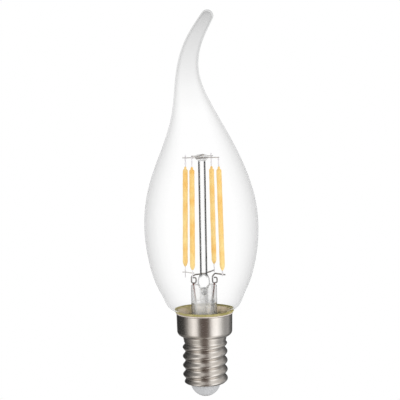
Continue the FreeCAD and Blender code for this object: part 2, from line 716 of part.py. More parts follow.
def fusible_resistor():
    """A small axial resistor whose lower lead is the wire to the centre contact."""
    y, foot = -BOARD_FACE - RESISTOR_RADIUS - FIT, FLANGE_TOP + RESISTOR_STAND
    top = foot + RESISTOR_LENGTH
    bend, loop = foot - RESISTOR_BEND_DROP, top + RESISTOR_LOOP
    body = rounded_can(RESISTOR_RADIUS, RESISTOR_LENGTH, (0, y, foot))
    tail = [(0, y, foot + CAN_EDGE), (0, y, bend), (0, 0, bend + y), (0, 0, CONTACT_SHELF)]
    head = [(0, y, top - CAN_EDGE), (0, y, loop), (0, -BOARD_FACE, loop)]
    return body.fuse([bent_wire(tail, RESISTOR_LEAD), bent_wire(head, RESISTOR_LEAD, RESISTOR_LOOP)])


def shell_wire():
    """The bare wire from the board over the sleeve's edge to the shell."""
    y = BOARD_FACE + SHELL_WIRE / 2
    height = BAND_FOOT + BAND_LENGTH / 2
    reach = math.sqrt((BAND_DIAMETER / 2 - SHEET) ** 2 - (y + SHELL_WIRE / 2) ** 2)
    foot = BOARD_TOP - SHELL_WIRE_LAP
    points = [(-SHELL_WIRE_OUT, y, foot), (-SHELL_WIRE_OUT, y, height), (-reach, y, height)]
    return bent_wire(points, SHELL_WIRE)


def pieces():
    """Every separate piece by its name."""
    outer = glass_form(0, 0)
    left_seal, right_seal = seal_wire(-1), seal_wire(1)
    first_wire, second_wire = top_wire(0), top_wire(1)
    tube_hole = rod((0, 0, RIM + EXHAUST_TIP), (0, 0, RIM + EXHAUST_TOP), EXHAUST_RADIUS)
    nodes = {
        "screw_shell": screw_shell(),
        "insulator": insulator(),
        "centre_contact": centre_contact(),
        "glass_envelope": glass_envelope(outer),
        "cement_ring": cement_ring(outer),
        "glass_stem": glass_stem([tube_hole, glass_column([]), left_seal, right_seal]),
        "exhaust_tube": exhaust_tube(),
        "glass_column": glass_column([first_wire, second_wire]),
        "top_wire_front_right": first_wire,
        "top_wire_front_left": second_wire,
        "jumper_wire": jumper_wire(),
        "left_seal_wire": left_seal,
        "right_seal_wire": right_seal,
        "left_inner_lead": inner_lead(-1, LEFT_ARM, 1),
        "right_inner_lead": inner_lead(1, (), 0),
        "left_outer_lead": outer_lead(-1),
        "right_outer_lead": outer_lead(1),
        "insulating_sleeve": insulating_sleeve(),
        "driver_board": driver_board(),
        "bridge_rectifier": chip_package(RECTIFIER_WIDTH, RECTIFIER_DEPTH, RECTIFIER_TALL,
                                         LEFT_PART, RECTIFIER_HEIGHT, RECTIFIER_LEGS),
        "driver_chip": chip_package(CHIP_WIDTH, CHIP_DEPTH, CHIP_TALL, RIGHT_PART, CHIP_HEIGHT, CHIP_LEGS),
        "sense_resistors": sense_resistors(),
        "smoothing_capacitor": smoothing_capacitor(),
        "fusible_resistor": fusible_resistor(),
        "shell_wire": shell_wire(),
    }
    for index, place in enumerate(STICK_NAMES):
        nodes["light_stick_" + place] = light_stick(index)
        nodes["top_pin_" + place] = top_pin(index)
        nodes["foot_pin_" + place] = foot_pin(index)
    return nodes


os.makedirs("parts", exist_ok=True)
for name, shape in pieces().items():
    shape.exportStep("parts/" + name + ".step")
    print(name, "valid" if shape.isValid() else "NOT VALID", len(shape.Solids), round(shape.Volume, 3))
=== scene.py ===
import math

import bmesh
import bpy
import numpy as np
from mathutils import Matrix, Vector


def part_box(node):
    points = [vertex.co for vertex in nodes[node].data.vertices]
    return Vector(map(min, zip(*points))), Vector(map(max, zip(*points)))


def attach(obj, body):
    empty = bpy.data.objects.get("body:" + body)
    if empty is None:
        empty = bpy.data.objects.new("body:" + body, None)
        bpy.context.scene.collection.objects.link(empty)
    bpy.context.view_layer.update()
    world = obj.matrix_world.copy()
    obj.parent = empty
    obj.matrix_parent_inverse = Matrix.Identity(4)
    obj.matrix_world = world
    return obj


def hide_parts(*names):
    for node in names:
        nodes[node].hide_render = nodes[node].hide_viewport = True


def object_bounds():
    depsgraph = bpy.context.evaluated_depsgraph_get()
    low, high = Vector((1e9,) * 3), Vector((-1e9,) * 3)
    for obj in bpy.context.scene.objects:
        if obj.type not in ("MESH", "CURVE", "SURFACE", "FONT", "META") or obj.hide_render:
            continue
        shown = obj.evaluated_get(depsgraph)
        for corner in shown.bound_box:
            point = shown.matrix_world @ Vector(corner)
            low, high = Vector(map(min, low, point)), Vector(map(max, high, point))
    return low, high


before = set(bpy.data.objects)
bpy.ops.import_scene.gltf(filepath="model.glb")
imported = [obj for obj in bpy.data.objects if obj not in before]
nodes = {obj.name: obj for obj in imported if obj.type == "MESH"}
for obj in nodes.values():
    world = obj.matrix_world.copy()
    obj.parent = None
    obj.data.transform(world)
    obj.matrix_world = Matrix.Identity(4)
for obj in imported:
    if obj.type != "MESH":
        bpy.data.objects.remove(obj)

cad_low, cad_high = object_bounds()

# All sizes are in metres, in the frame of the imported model: +Z up the cap's axis, -Y the front.
MM = 0.001

# the screw shell: one thin sheet, rolled into a thread, then a plain band, a step and the skirt
SHEET = 0.25 * MM
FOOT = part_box("screw_shell")[0].z
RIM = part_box("screw_shell")[1].z
FOOT_HOLE = 4.75 * MM
FOOT_CORNER = 0.9 * MM
THREAD_ROOT = 6.145 * MM
THREAD_DEPTH = 0.8 * MM
THREAD_PITCH = 2.822 * MM
THREAD_START = FOOT - 1.69 * MM
THREAD_FADE = 0.75 * MM
BAND_FOOT = FOOT + 12.75 * MM
THREAD_END = BAND_FOOT + 0.1 * MM
BAND_START = BAND_FOOT + 0.2 * MM
BAND_START_INSIDE = BAND_FOOT + 0.4 * MM
BAND_RADIUS = 6.8 * MM
BAND_TAPER = 0.3 * MM
STEP = BAND_FOOT + 1.88 * MM
STEP_EDGE = 0.15 * MM
SKIRT_RADIUS = 8.55 * MM
SKIRT_FLARE = 0.1 * MM
SKIRT_EDGE = SKIRT_RADIUS + SKIRT_FLARE
SKIRT_CORNER = 1.6 * MM
SKIRT_TURN = (SKIRT_RADIUS - SKIRT_CORNER, STEP + SKIRT_CORNER)
LIP = 0.17 * MM
LIP_IN = 0.12 * MM
LIP_HEIGHT = 0.32 * MM
LIP_GROOVE = 0.12 * MM
LIP_EDGE = 0.06 * MM
# heights of the painted highlight on the lip: a paler, less metallic band that reads as a bright line
LIP_HIGHLIGHT = (RIM - LIP_HEIGHT - 0.03 * MM, RIM - LIP_HEIGHT)

# the glass envelope: height above the rim, sideways shift and radius, in millimetres
GLASS_WALL = 0.3 * MM
GLASS_STATIONS = (
    (-6.35, 0.0, 6.4),
    (-4.4, 0.0, 6.4),
    (0.0, 0.0, 8.1),
    (1.15, -0.02, 9.95),
    (4.25, -0.1, 12.15),
    (8.15, -0.2, 14.0),
    (13.45, -0.32, 15.8),
    (25.65, -0.45, 17.49),
    (37.45, -0.68, 16.15),
    (49.45, -1.15, 11.8),
    (61.45, -2.5, 6.6),
    (73.45, -3.85, 3.55),
    (83.35, -1.65, 2.5),
    (90.55, 2.4, 1.9),
)
TIP_SOLID = 0.25 * MM

# the glass column: melted round at its foot in the press, swollen above it, with a button on top
COLUMN_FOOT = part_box("glass_column")[0].z
COLUMN_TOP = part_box("glass_column")[1].z
COLUMN_RADIUS = 1.15 * MM
MELT_RADIUS = 1.0 * MM
MELT_HEIGHT = 0.3 * MM
SWELL_RADIUS = 1.9 * MM
SWELL_TOP = COLUMN_FOOT + 4.6 * MM
BUTTON_RADIUS = 2.0 * MM
BUTTON_FOOT = COLUMN_TOP - 2.1 * MM
COLUMN_JOINT = 0.3 * MM

# heights where the rod's painted shade changes: at the foot, at the swelling's top and at the button
MELT_SHADE = (COLUMN_FOOT, COLUMN_FOOT + 1.0 * MM)
SWELL_SHADE = (SWELL_TOP - 1.1 * MM, SWELL_TOP - 0.3 * MM)
BUTTON_SHADE = (BUTTON_FOOT - 0.3 * MM, BUTTON_FOOT + 0.2 * MM)

# the stem's glass is greyer beyond these distances on either side of the middle
STEM_SIDES = (2.2 * MM, 3.6 * MM)

# the bare wires: radius, how far a top wire runs past its pins, and the jumper's turned ends in millimetres
TOP_WIRE_RADIUS = 0.17 * MM
TOP_WIRE_BEFORE = 0.3 * MM
TOP_WIRE_PAST = 1.1 * MM
OPPOSITE = {"front_right": "back_left", "front_left": "back_right"}
JUMPER_RADIUS = 0.15 * MM
JUMPER_DROP = 0.35 * MM
JUMPER_RISE = 0.6 * MM
JUMPER_BACK = ((-1.0, 0.25, -0.05), (-0.3, 0.05, 0))
JUMPER_FRONT = ((0.25, -0.05, 0), (0.6, -0.1, 0))

# the copper-clad wires redden between these heights
COPPER_RED = (30.4 * MM, 32.4 * MM)

# a light stick's coat, with how far it runs onto each foot pin
STICK_RADIUS = 0.8 * MM
COAT_TAPER = 1.9 * MM
COAT_STUB = 0.8 * MM
COAT_STUB_RADIUS = 0.38 * MM
COAT_SHOULDER = 0.55 * MM
COAT_HEAD = 3 * MM
COAT_TIP = 0.01 * MM
COAT_LEAST = 0.03 * MM
COAT_RUNS = {"back_left": 0.45 * MM, "front_left": 0.35 * MM,
             "back_right": 0.1 * MM, "front_right": 1.0 * MM}

# the cement between neck and skirt, and its uneven bead over the rim, with painted light inside these
# distances out
SEAT = STEP + 0.3 * MM
NECK_RADIUS = 6.4 * MM
CEMENT_SINK = 0.16 * MM
CEMENT_GAP = 0.01 * MM
CEMENT_END = 0.1 * MM
BEAD_OUT = 0.64 * MM
BEAD_UP = 0.8 * MM
BEAD_LUMPS = 0.12 * MM
BEAD_WAVES = 0.09 * MM
# painted light: inside this distance the cement is paler, fading to the bead's own colour beyond
NECK_LIGHT_FADE = (8.25 * MM, 8.5 * MM)

# the camera, from the photograph's perspective
CAMERA_DISTANCE = 253 * MM
CAMERA_DROP = math.radians(3.3)
CAMERA_ROLL = math.radians(-1.03)
CAMERA_LENS = 74.07
TARGET_HEIGHT = 60.93 * MM
TARGET_ASIDE = -0.74 * MM

# the room
FLOOR_SIZE = 3
FLOOR_HEIGHT = -0.6
LAMP_DISTANCE = 0.7
LAMP_HEIGHT = -0.05
PLAIN_LIGHT = (0.8, 0.8, 0.8, 1)

# what metal and glass mirror: rows of azimuth in degrees, nought towards the camera, and a colour
HORIZON = (
    (-180, 0.4, 0.4, 0.4), (-166, 0.16, 0.16, 0.16), (-150, 0.03, 0.03, 0.03), (-98, 0.05, 0.049, 0.047),
    (-80, 0.25, 0.24, 0.23), (-62, 0.88, 0.86, 0.83), (-47, 1.34, 1.31, 1.28), (-34, 1.15, 1.12, 1.09),
    (-24, 0.36, 0.34, 0.32), (-16, 0.14, 0.115, 0.1), (-4, 0.13, 0.1, 0.09), (10, 0.15, 0.12, 0.105),
    (17, 0.22, 0.19, 0.17), (25, 0.8, 0.78, 0.76), (36, 1.34, 1.33, 1.31), (52, 1.45, 1.44, 1.43),
    (66, 1.02, 1.02, 1.01), (80, 0.56, 0.56, 0.55), (94, 0.4, 0.4, 0.4), (116, 0.42, 0.42, 0.42),
    (128, 0.18, 0.18, 0.18), (160, 0.06, 0.06, 0.06), (180, 0.4, 0.4, 0.4))
UNDERFOOT = (
    (-180, 0.3, 0.29, 0.28), (-130, 0.16, 0.155, 0.15), (-85, 0.34, 0.32, 0.3), (-45, 0.52, 0.5, 0.46),
    (-10, 0.2, 0.17, 0.15), (8, 0.19, 0.16, 0.14), (45, 0.95, 0.92, 0.88), (90, 0.42, 0.41, 0.4),
    (140, 0.2, 0.2, 0.2), (180, 0.3, 0.29, 0.28))
OVERHEAD = (
    (-180, 0.2, 0.2, 0.19), (-130, 0.1, 0.1, 0.1), (-85, 0.3, 0.29, 0.28), (-45, 0.72, 0.7, 0.67),
    (0, 0.3, 0.27, 0.25), (45, 0.95, 0.93, 0.9), (90, 0.7, 0.68, 0.65), (140, 0.3, 0.29, 0.28),
    (180, 0.2, 0.2, 0.19))

# how far up or down a mirrored direction points where the horizon's colours start and end their change
CHANGE = (0.2, 0.75)


# nodes

def node(tree, kind, **values):
    """A new node with its settings."""
    made = tree.nodes.new(kind)
    for key, value in values.items():
        setattr(made, key, value)
    return made


def link(tree, start, end):
    """Leads one socket to another."""
    tree.links.new(start, end)


def feed(tree, socket, term):
    """Gives a socket its link or its value; a colour comes without alpha, and a grey level as a number."""
    if isinstance(term, bpy.types.NodeSocket):
        link(tree, term, socket)
    elif isinstance(term, tuple):
        socket.default_value = (*term, 1)
    elif socket.type == "RGBA":
        socket.default_value = (term, term, term, 1)
    else:
        socket.default_value = term


def sum_node(tree, operation, *terms):
    """A math node fed with sockets or numbers; gives its output."""
    made = node(tree, "ShaderNodeMath", operation=operation)
    for socket, term in zip(made.inputs, terms):
        feed(tree, socket, term)
    return made.outputs[0]


def share_of(tree, value, low, high, **values):
    """Nought where a value is below low and one where it is above high."""
    share = node(tree, "ShaderNodeMapRange", **values)
    for label, term in (("Value", value), ("From Min", low), ("From Max", high)):
        feed(tree, share.inputs[label], term)
    return share.outputs[0]


def blend(tree, blending, factor, first, second):
    """Two colours mixed; each is a socket, a colour or a grey level, and the factor a socket or a number."""
    mix = node(tree, "ShaderNodeMix", data_type="RGBA", blend_type=blending)
    for label, term in (("Factor", factor), ("A", first), ("B", second)):
        feed(tree, mix.inputs[label], term)
    return mix.outputs["Result"]


def mix_shaders(tree, factor, first, second):
    """Two shaders mixed by a socket."""
    mix = node(tree, "ShaderNodeMixShader")
    for socket, term in zip(mix.inputs, (factor, first, second)):
        link(tree, term, socket)
    return mix.outputs[0]


def ray_share(tree, first, second):
    """One for a ray of either kind, and nought for all others."""
    path = node(tree, "ShaderNodeLightPath")
    return sum_node(tree, "MAXIMUM", path.outputs[f"Is {first} Ray"], path.outputs[f"Is {second} Ray"])


def colour_ramp(tree, value, stops, interpolation="LINEAR"):
    """Colours against a value; each stop is (value, red, green, blue)."""
    ramp = node(tree, "ShaderNodeValToRGB")
    ramp.color_ramp.interpolation = interpolation
    for i, (at, *level) in enumerate(stops):
        inner = 0 < i < len(stops) - 1
        stop = ramp.color_ramp.elements.new(at) if inner else ramp.color_ramp.elements[-1 if i else 0]
        stop.position, stop.color = at, (*level, 1)
    link(tree, value, ramp.inputs["Fac"])
    return ramp.outputs["Color"]


def grey_ramp(tree, value, *stops):
    """Grey levels against a value; each stop is (value, level)."""
    return colour_ramp(tree, value, [(at, level, level, level) for at, level in stops])


def edge_ramp(tree, *stops):
    """Grey levels against how edge-on the surface is seen."""
    edge = node(tree, "ShaderNodeLayerWeight")
    edge.inputs["Blend"].default_value = 0.5
    return grey_ramp(tree, edge.outputs["Facing"], *stops)


def distance_share(tree, low, high, axis="Z"):
    """Nought nearer than low to the object's origin, along an axis, and one beyond high."""
    where, split = node(tree, "ShaderNodeTexCoord"), node(tree, "ShaderNodeSeparateXYZ")
    link(tree, where.outputs["Object"], split.inputs[0])
    return share_of(tree, sum_node(tree, "ABSOLUTE", split.outputs[axis]), low, high)


# effects: node groups that the materials share

def effect(name, inputs, outputs):
    """A shader node group with named inputs and outputs; gives the group, its way in and its way out."""
    tree = bpy.data.node_groups.new(name, "ShaderNodeTree")
    for label, (kind, value) in inputs.items():
        socket = tree.interface.new_socket(name=label, in_out="INPUT", socket_type="NodeSocket" + kind)
        socket.default_value = value
    for label, kind in outputs.items():
        tree.interface.new_socket(name=label, in_out="OUTPUT", socket_type="NodeSocket" + kind)
    return tree, node(tree, "NodeGroupInput"), node(tree, "NodeGroupOutput")


def object_noise(tree, scale, detail, roughness):
    """A noise on Object coordinates; its scale is a socket, in features per metre."""
    where, noise = node(tree, "ShaderNodeTexCoord"), node(tree, "ShaderNodeTexNoise")
    link(tree, where.outputs["Object"], noise.inputs["Vector"])
    link(tree, scale, noise.inputs["Scale"])
    noise.inputs["Detail"].default_value = detail
    noise.inputs["Roughness"].default_value = roughness
    return noise


def mottle_effect():
    """Soft cloudy patches between two colours."""
    tree, enter, leave = effect("mottle", {"Dark": ("Color", (0, 0, 0, 1)), "Light": ("Color", (1, 1, 1, 1)),
                                           "Scale": ("Float", 500.0), "Spread": ("Float", 0.2)},
                                {"Color": "Color", "Mask": "Float"})
    noise = object_noise(tree, enter.outputs["Scale"], 3.0, 0.55)
    low = sum_node(tree, "SUBTRACT", 0.5, enter.outputs["Spread"])
    high = sum_node(tree, "ADD", 0.5, enter.outputs["Spread"])
    mask = share_of(tree, noise.outputs["Fac"], low, high)
    colour = blend(tree, "MIX", mask, enter.outputs["Dark"], enter.outputs["Light"])
    link(tree, colour, leave.inputs["Color"])
    link(tree, mask, leave.inputs["Mask"])
    return tree


def grain_effect():
    """Fine relief with a roughness that varies a little with it."""
    tree, enter, leave = effect("grain", {"Scale": ("Float", 3000.0), "Depth": ("Float", 0.00002),
                                          "Roughness": ("Float", 0.5), "Roughness spread": ("Float", 0.1)},
                                {"Normal": "Vector", "Roughness": "Float"})
    noise = object_noise(tree, enter.outputs["Scale"], 4.0, 0.6)
    bump = node(tree, "ShaderNodeBump")
    bump.inputs["Strength"].default_value = 1.0
    link(tree, enter.outputs["Depth"], bump.inputs["Distance"])
    link(tree, noise.outputs["Fac"], bump.inputs["Height"])
    centred = sum_node(tree, "SUBTRACT", noise.outputs["Fac"], 0.5)
    spread = sum_node(tree, "MULTIPLY", centred, enter.outputs["Roughness spread"])
    link(tree, bump.outputs[0], leave.inputs["Normal"])
    link(tree, sum_node(tree, "ADD", enter.outputs["Roughness"], spread), leave.inputs["Roughness"])
    return tree


def handling_effect():
    """Faint scuffs that lie round the axis, as turning a cap in its holder leaves them.

    Along is how much shorter they are up the axis than round it; below one they are streaks up the axis.
    """
    tree, enter, leave = effect("handling", {"Scale": ("Float", 900.0), "Along": ("Float", 14.0),
                                             "Amount": ("Float", 0.1)}, {"Mask": "Float"})
    where = node(tree, "ShaderNodeTexCoord")
    squeeze = node(tree, "ShaderNodeVectorMath", operation="MULTIPLY")
    stretch, noise = node(tree, "ShaderNodeCombineXYZ"), node(tree, "ShaderNodeTexNoise")
    stretch.inputs["X"].default_value = stretch.inputs["Y"].default_value = 1.0
    link(tree, enter.outputs["Along"], stretch.inputs["Z"])
    link(tree, where.outputs["Object"], squeeze.inputs[0])
    link(tree, stretch.outputs[0], squeeze.inputs[1])
    link(tree, squeeze.outputs[0], noise.inputs["Vector"])
    link(tree, enter.outputs["Scale"], noise.inputs["Scale"])
    noise.inputs["Detail"].default_value = 2.0
    scuffs = share_of(tree, noise.outputs["Fac"], 0.56, 0.78)
    link(tree, sum_node(tree, "MULTIPLY", scuffs, enter.outputs["Amount"]), leave.inputs["Mask"])
    return tree


MOTTLE, GRAIN, HANDLING = mottle_effect(), grain_effect(), handling_effect()


def use_effect(tree, effect_tree, **values):
    """An effect's node, with values for its inputs by name."""
    made = node(tree, "ShaderNodeGroup")
    made.node_tree = effect_tree
    for socket in made.inputs:
        key = socket.name.replace(" ", "_").lower()
        if key in values:
            socket.default_value = values[key]
    return made


def clouds(tree, dark, light, scale, spread):
    """Cloudy patches between two colours, as one colour."""
    made = use_effect(tree, MOTTLE, dark=(*dark, 1), light=(*light, 1), scale=scale, spread=spread)
    return made.outputs["Color"]


def relief(tree, shader, scale, depth, roughness):
    """Fine relief on a shader, rougher and smoother with it."""
    made = use_effect(tree, GRAIN, scale=scale, depth=depth, roughness=roughness, roughness_spread=0.25)
    link(tree, made.outputs["Roughness"], shader.inputs["Roughness"])
    link(tree, made.outputs["Normal"], shader.inputs["Normal"])


def ripple(tree, shader, scale, depth):
    """Faint waves in the glass of a shader."""
    link(tree, use_effect(tree, GRAIN, scale=scale, depth=depth).outputs["Normal"], shader.inputs["Normal"])


# meshes

def new_object(name, data):
    """A new object in the scene."""
    piece = bpy.data.objects.new(name, data)
    bpy.context.scene.collection.objects.link(piece)
    return piece


def shaded(mesh, angle):
    """The mesh, shaded smooth except along edges sharper than an angle in degrees."""
    mesh.shade_smooth()
    mesh.set_sharp_from_angle(angle=math.radians(angle))
    return mesh


def mesh_from(name, points, faces, angle):
    """A shaded mesh of points and faces."""
    mesh = bpy.data.meshes.new(name)
    mesh.from_pydata([tuple(p) for p in points], [], faces)
    mesh.update()
    return shaded(mesh, angle)


def round_angles(around):
    """Even angles that go once round."""
    return [2 * math.pi * j / around for j in range(around)]


def turned_points(rows, around):
    """Rows (radius, height) turned round the column's axis."""
    return [(radius * math.cos(angle), radius * math.sin(angle), height)
            for radius, height in rows for angle in round_angles(around)]


def ring_faces(rows, around, closed=False):
    """Quads between rows of points that each go once round, facing out where the rows go up."""
    faces = []
    for i in range(rows if closed else rows - 1):
        first, second = i * around, (i + 1) % rows * around
        for j in range(around):
            k = (j + 1) % around
            faces.append((first + j, first + k, second + k, second + j))
    return faces


def rod_faces(rows, around):
    """The side of a rod of rings, and a flat cap at each end."""
    last = (rows - 1) * around
    return ring_faces(rows, around) + [tuple(reversed(range(around))), tuple(range(last, last + around))]


def natural_spline(heights, values):
    """A smooth curve through values at heights, as a function of height."""
    x, y = np.array(heights), np.array(values)
    n, h = len(x), np.diff(x)
    a, b = np.zeros((n, n)), np.zeros(n)
    a[0, 0] = a[-1, -1] = 1
    for i in range(1, n - 1):
        a[i, i - 1:i + 2] = h[i - 1], 2 * (h[i - 1] + h[i]), h[i]
        b[i] = 6 * ((y[i + 1] - y[i]) / h[i] - (y[i] - y[i - 1]) / h[i - 1])
    m = np.linalg.solve(a, b)

    def curve(at):
        i = min(max(int(np.searchsorted(x, at)) - 1, 0), n - 2)
        low, high = x[i + 1] - at, at - x[i]
        return ((m[i] * low ** 3 + m[i + 1] * high ** 3) / (6 * h[i])
                + (y[i] / h[i] - m[i] * h[i] / 6) * low + (y[i + 1] / h[i] - m[i + 1] * h[i] / 6) * high)

    return curve


glass_heights = [RIM + station[0] * MM for station in GLASS_STATIONS]
glass_shift = natural_spline(glass_heights, [station[1] * MM for station in GLASS_STATIONS])
glass_radius = natural_spline(glass_heights, [station[2] * MM for station in GLASS_STATIONS])


def even_heights(top, rows):
    """Heights from the neck's end to the top, at equal steps along the wall."""
    fine = np.linspace(glass_heights[0], top, 1500)
    radii = np.array([glass_radius(height) for height in fine])
    walked = np.concatenate([[0], np.cumsum(np.hypot(np.diff(fine), np.diff(radii)))])
    return [float(height) for height in np.interp(np.linspace(0, walked[-1], rows), walked, fine)]


def glass_rings(inset, top, rows, around, dome):
    """Rings of points up the envelope's wall, moved in by inset, with a round end at the top."""
    step = 0.01 * MM
    rings = []
    for height in even_heights(top, rows):
        lean = (glass_shift(height + step) - glass_shift(height - step)) / (2 * step)
        slope = (glass_radius(height + step) - glass_radius(height - step)) / (2 * step)
        along = Vector((0, 0, 1)) if height < RIM else Vector((lean, 0, 1)).normalized()
        across = Vector((along.z, 0, -along.x))
        centre = Vector((glass_shift(height), 0, height))
        radius = glass_radius(height) - inset * math.hypot(1, slope)
        rings.append((centre, across, radius))
    for i in range(1, dome):
        bend = math.pi / 2 * i / dome
        rings.append((centre + along * radius * math.sin(bend), across, radius * math.cos(bend)))
    points = [middle + (sideways * math.cos(angle) + Vector((0, 1, 0)) * math.sin(angle)) * reach
              for middle, sideways, reach in rings for angle in round_angles(around)]
    return points, len(rings), centre + along * radius


def glass_envelope():
    """The blown glass as one closed wall: outside, inside and the melted end of the neck."""
    around, rows, dome = 192, 210, 8
    top = glass_heights[-1]
    outer, outer_rows, outer_tip = glass_rings(0, top, rows, around, dome)
    inner, inner_rows, inner_tip = glass_rings(GLASS_WALL, top - TIP_SOLID, rows, around, dome)
    points = outer + inner + [outer_tip, inner_tip]
    faces = ring_faces(outer_rows, around)
    base = len(outer)
    faces += [tuple(base + k for k in reversed(face)) for face in ring_faces(inner_rows, around)]
    last_outer, last_inner = (outer_rows - 1) * around, base + (inner_rows - 1) * around
    tip = len(points) - 2
    for j in range(around):
        k = (j + 1) % around
        faces.append((last_outer + j, last_outer + k, tip))
        faces.append((last_inner + k, last_inner + j, tip + 1))
        faces.append((base + j, base + k, k, j))
    return new_object("blown_envelope", mesh_from("blown_envelope", points, faces, 60))


def arc_steps(centre, radius, start, end, count):
    """Points (radius, height) on an arc, from one angle to another in degrees."""
    steps = []
    for i in range(count + 1):
        angle = math.radians(start + (end - start) * i / count)
        steps.append((centre[0] + radius * math.cos(angle), centre[1] + radius * math.sin(angle)))
    return steps


def ease(low, high, at):
    """Nought below low and one above high, with a soft start and end between."""
    share = min(max((at - low) / (high - low), 0), 1)
    return share * share * (3 - 2 * share)


def thread_rows(inset, count):
    """Rows (radius, height, roll) of the threaded length, moved in by inset; roll is the thread's share."""
    rows = []
    low, root = FOOT + inset, THREAD_ROOT - inset
    corner = (THREAD_ROOT + THREAD_DEPTH - FOOT_CORNER, FOOT + FOOT_CORNER)
    for i in range(count + 1):
        height = low + (THREAD_END - low) * i / count
        rise = max(corner[1] - height, 0)
        reach = corner[0] + math.sqrt(max((FOOT_CORNER - inset) ** 2 - rise ** 2, 0))
        band = ease(THREAD_END - THREAD_FADE, THREAD_END, height)
        base = min(root, reach) * (1 - band) + (BAND_RADIUS - BAND_TAPER - inset) * band
        roll = min(max((reach - root) / THREAD_DEPTH, 0), 1) * (1 - band)
        rows.append((base, height, roll))
    return rows


def plain_rows(steps):
    """Rows (radius, height) without thread."""
    return [(radius, height, 0) for radius, height in steps]


def shell_outline():
    """The shell's closed outline, up the outside, over the lip, down inside: rows (radius, height, roll)."""
    under, edge = RIM - LIP_HEIGHT, SKIRT_EDGE + LIP
    groove = (SKIRT_EDGE - LIP_GROOVE, under - LIP_GROOVE)
    band, skirt = STEP - 2 * STEP_EDGE - BAND_START, under - 2 * LIP_GROOVE - SKIRT_TURN[1]
    wall = [(BAND_RADIUS - BAND_TAPER * (1 - share), BAND_START + band * share)
            for share in np.linspace(0, 1, 8)]
    wall += arc_steps((BAND_RADIUS + STEP_EDGE, STEP - STEP_EDGE), STEP_EDGE, 180, 90, 5)
    wall += arc_steps(SKIRT_TURN, SKIRT_CORNER, -90, 0, 16)[1:]
    wall += [(SKIRT_RADIUS + SKIRT_FLARE * share, SKIRT_TURN[1] + skirt * share)
             for share in np.linspace(0.08, 1, 12)]
    wall += [groove, (groove[0], under - LIP_GROOVE / 2), (edge, under), (edge, under + LIP_EDGE)]
    wall += [(edge - (LIP + LIP_IN) * share, under + LIP_EDGE + (LIP_HEIGHT - LIP_EDGE) * share ** 0.4)
             for share in (0.02, 0.12, 0.4, 1)]
    wall += [(SKIRT_EDGE - SHEET, RIM), (SKIRT_EDGE - SHEET, under)]
    wall += arc_steps(SKIRT_TURN, SKIRT_CORNER - SHEET, 0, -90, 8)
    wall += [(BAND_RADIUS - SHEET, STEP + SHEET), (BAND_RADIUS - BAND_TAPER - SHEET, BAND_START_INSIDE)]
    return (plain_rows([(FOOT_HOLE, FOOT), ((FOOT_HOLE + THREAD_ROOT) / 2, FOOT)]) + thread_rows(0, 150)
            + plain_rows(wall) + thread_rows(SHEET, 100)[::-1] + plain_rows([(FOOT_HOLE, FOOT + SHEET)]))


def rolled_thread_tree():
    """Geometry nodes that roll a right-hand thread into a plain shell where its roll attribute says so."""
    tree = bpy.data.node_groups.new("rolled_thread", "GeometryNodeTree")
    face = tree.interface
    face.new_socket(name="Geometry", in_out="INPUT", socket_type="NodeSocketGeometry")
    for name in ("Pitch", "Depth", "Start height"):
        face.new_socket(name=name, in_out="INPUT", socket_type="NodeSocketFloat")
    face.new_socket(name="Metal", in_out="INPUT", socket_type="NodeSocketMaterial")
    face.new_socket(name="Geometry", in_out="OUTPUT", socket_type="NodeSocketGeometry")
    enter, leave = node(tree, "NodeGroupInput"), node(tree, "NodeGroupOutput")
    where, split = node(tree, "GeometryNodeInputPosition"), node(tree, "ShaderNodeSeparateXYZ")
    roll = node(tree, "GeometryNodeInputNamedAttribute", data_type="FLOAT")
    roll.inputs["Name"].default_value = "roll"
    link(tree, where.outputs[0], split.inputs[0])
    turn = sum_node(tree, "ARCTAN2", split.outputs["Y"], split.outputs["X"])
    turns = sum_node(tree, "DIVIDE", turn, 2 * math.pi)
    climb = sum_node(tree, "SUBTRACT", split.outputs["Z"], enter.outputs["Start height"])
    rows = sum_node(tree, "DIVIDE", climb, enter.outputs["Pitch"])
    phase = sum_node(tree, "SUBTRACT", rows, turns)
    wave = sum_node(tree, "COSINE", sum_node(tree, "MULTIPLY", phase, 2 * math.pi))
    crest = sum_node(tree, "MULTIPLY_ADD", wave, 0.5, 0.5)
    reach = sum_node(tree, "MULTIPLY", crest, enter.outputs["Depth"])
    reach = sum_node(tree, "MULTIPLY", reach, roll.outputs[0])
    flat = node(tree, "ShaderNodeCombineXYZ")
    link(tree, split.outputs["X"], flat.inputs["X"])
    link(tree, split.outputs["Y"], flat.inputs["Y"])
    away = node(tree, "ShaderNodeVectorMath", operation="NORMALIZE")
    link(tree, flat.outputs[0], away.inputs[0])
    offset = node(tree, "ShaderNodeVectorMath", operation="SCALE")
    link(tree, away.outputs[0], offset.inputs[0])
    link(tree, reach, offset.inputs["Scale"])
    move = node(tree, "GeometryNodeSetPosition")
    link(tree, enter.outputs["Geometry"], move.inputs["Geometry"])
    link(tree, offset.outputs[0], move.inputs["Offset"])
    real, coat = node(tree, "GeometryNodeRealizeInstances"), node(tree, "GeometryNodeSetMaterial")
    link(tree, move.outputs[0], real.inputs[0])
    link(tree, real.outputs[0], coat.inputs["Geometry"])
    link(tree, enter.outputs["Metal"], coat.inputs["Material"])
    link(tree, coat.outputs[0], leave.inputs[0])
    return tree


def grown(piece, tree, **values):
    """The piece with a geometry node tree's result as its plain mesh."""
    modifier = piece.modifiers.new(tree.name, "NODES")
    modifier.node_group = tree
    for item in tree.interface.items_tree:
        key = item.name.replace(" ", "_").lower()
        if item.in_out == "INPUT" and key in values:
            modifier[item.identifier] = values[key]
    bpy.context.view_layer.update()
    mesh = bpy.data.meshes.new_from_object(piece.evaluated_get(bpy.context.evaluated_depsgraph_get()))
    piece.modifiers.remove(modifier)
    piece.data = mesh
    mesh.name = piece.name
    return piece


